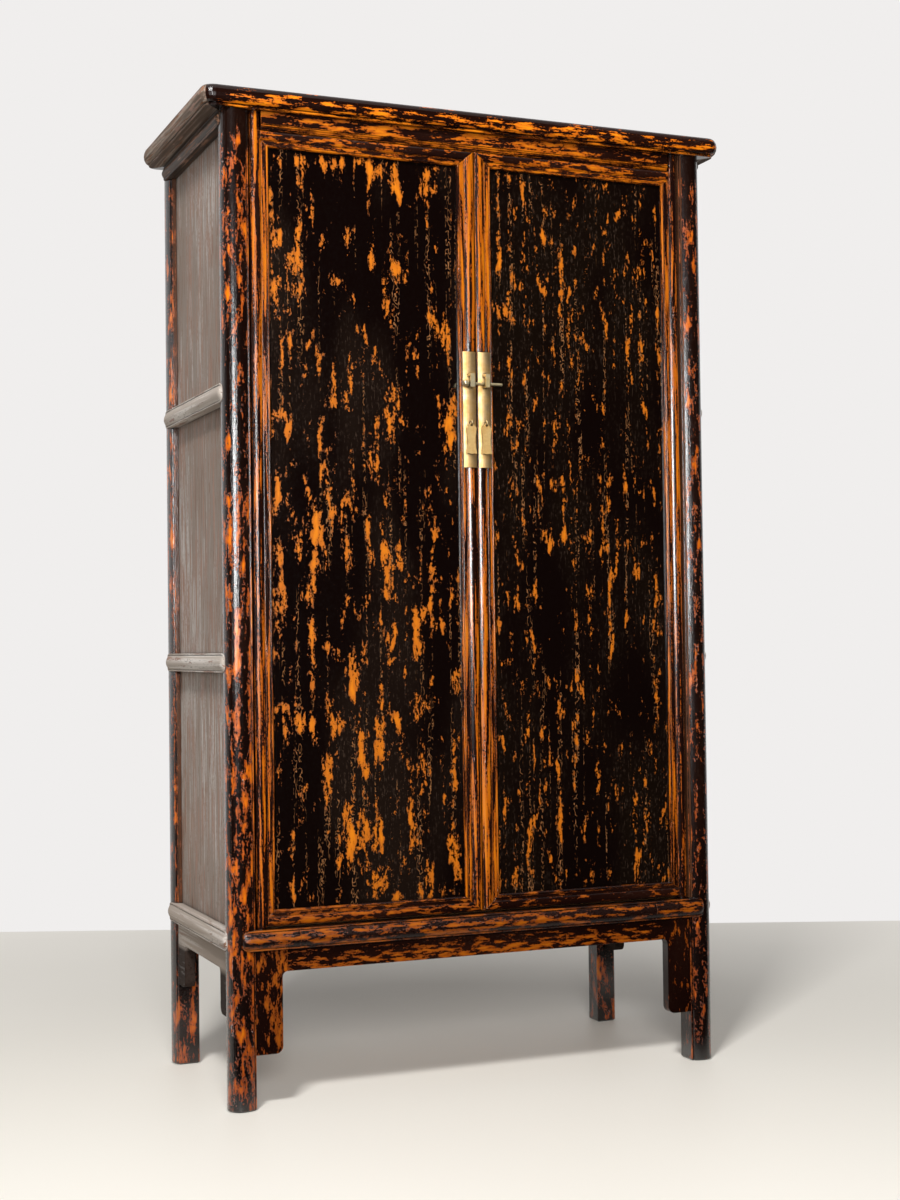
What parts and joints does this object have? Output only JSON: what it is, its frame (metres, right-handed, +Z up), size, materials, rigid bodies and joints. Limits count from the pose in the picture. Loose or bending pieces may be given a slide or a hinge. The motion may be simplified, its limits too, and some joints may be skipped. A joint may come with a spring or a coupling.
{
  "type": "two-door wardrobe",
  "caption": "Tall lacquered wardrobe with rounded corner posts, moulded rails, framed doors turning on wooden pivots, and a brass pin lock with hanging pulls.",
  "frame": {"origin": "on the floor, under the middle of the top", "axes": "+Z up, front towards -Y, +X to the right of someone facing the doors"},
  "size_m": [1.096, 0.501, 1.888],
  "materials": {
    "black_lacquer": "worn black lacquer over orange-red lacquer on wood, satin to glossy",
    "red_lacquer": "worn orange-red lacquer with black crackle on wood, satin",
    "plain_wood": "plain planed boards, matt",
    "brass": "satin pale brass"
  },
  "bodies": {
    "carcass": {"post_front_left": "black_lacquer", "post_front_right": "black_lacquer", "post_back_left": "black_lacquer", "post_back_right": "black_lacquer", "top_frame_front": "black_lacquer", "top_frame_back": "black_lacquer", "top_frame_left": "black_lacquer", "top_frame_right": "black_lacquer", "top_panel": "black_lacquer", "header_front": "black_lacquer", "top_rail_back": "black_lacquer", "top_rail_left": "black_lacquer", "top_rail_right": "black_lacquer", "side_rail_upper_left": "black_lacquer", "side_rail_upper_right": "black_lacquer", "side_rail_lower_left": "black_lacquer", "side_rail_lower_right": "black_lacquer", "bottom_rail_front": "black_lacquer", "bottom_rail_back": "black_lacquer", "bottom_rail_left": "black_lacquer", "bottom_rail_right": "black_lacquer", "pivot_block_left": "black_lacquer", "pivot_block_right": "black_lacquer", "side_panel_upper_left": "black_lacquer", "side_panel_upper_right": "black_lacquer", "side_panel_middle_left": "black_lacquer", "side_panel_middle_right": "black_lacquer", "side_panel_lower_left": "black_lacquer", "side_panel_lower_right": "black_lacquer", "back_rail_middle": "black_lacquer", "back_panel_upper": "black_lacquer", "back_panel_lower": "black_lacquer", "floor_board": "plain_wood", "shelf_lower": "plain_wood", "shelf_upper": "plain_wood", "apron_front": "red_lacquer", "bracket_front_left": "red_lacquer", "bracket_front_right": "red_lacquer", "apron_left": "red_lacquer", "apron_right": "red_lacquer"},
    "left_door": {"left_door_pivot_stile": "black_lacquer", "left_door_meeting_stile": "black_lacquer", "left_door_top_rail": "black_lacquer", "left_door_bottom_rail": "black_lacquer", "left_door_panel": "black_lacquer", "left_lock_plate": "brass", "left_staple": "brass", "left_pull_eye": "brass"},
    "right_door": {"right_door_pivot_stile": "black_lacquer", "right_door_meeting_stile": "black_lacquer", "right_door_top_rail": "black_lacquer", "right_door_bottom_rail": "black_lacquer", "right_door_panel": "black_lacquer", "right_lock_plate": "brass", "right_staple": "brass", "right_pull_eye": "brass"},
    "lock_pin": {"lock_pin": "brass"},
    "left_pull": {"left_pull": "brass"},
    "right_pull": {"right_pull": "brass"}
  },
  "joints": [
    {"name": "left_door_hinge", "type": "hinge", "parent": "carcass", "child": "left_door", "pos_m": [-0.444, -0.221, 0.334], "axis": [0, 0, -1], "range_deg": [0, 95]},
    {"name": "right_door_hinge", "type": "hinge", "parent": "carcass", "child": "right_door", "pos_m": [0.444, -0.221, 0.334], "axis": [0, 0, 1], "range_deg": [0, 95]},
    {"name": "lock_pin_slide", "type": "slide", "parent": "left_door", "child": "lock_pin", "axis": [-1, 0, 0], "range_m": [0, 0.05]},
    {"name": "left_pull_swing", "type": "hinge", "parent": "left_door", "child": "left_pull", "pos_m": [-0.016, -0.23985, 1.281], "axis": [-1, 0, 0], "range_deg": [0, 110]},
    {"name": "right_pull_swing", "type": "hinge", "parent": "right_door", "child": "right_pull", "pos_m": [0.016, -0.23985, 1.281], "axis": [-1, 0, 0], "range_deg": [0, 110]}
  ]
}
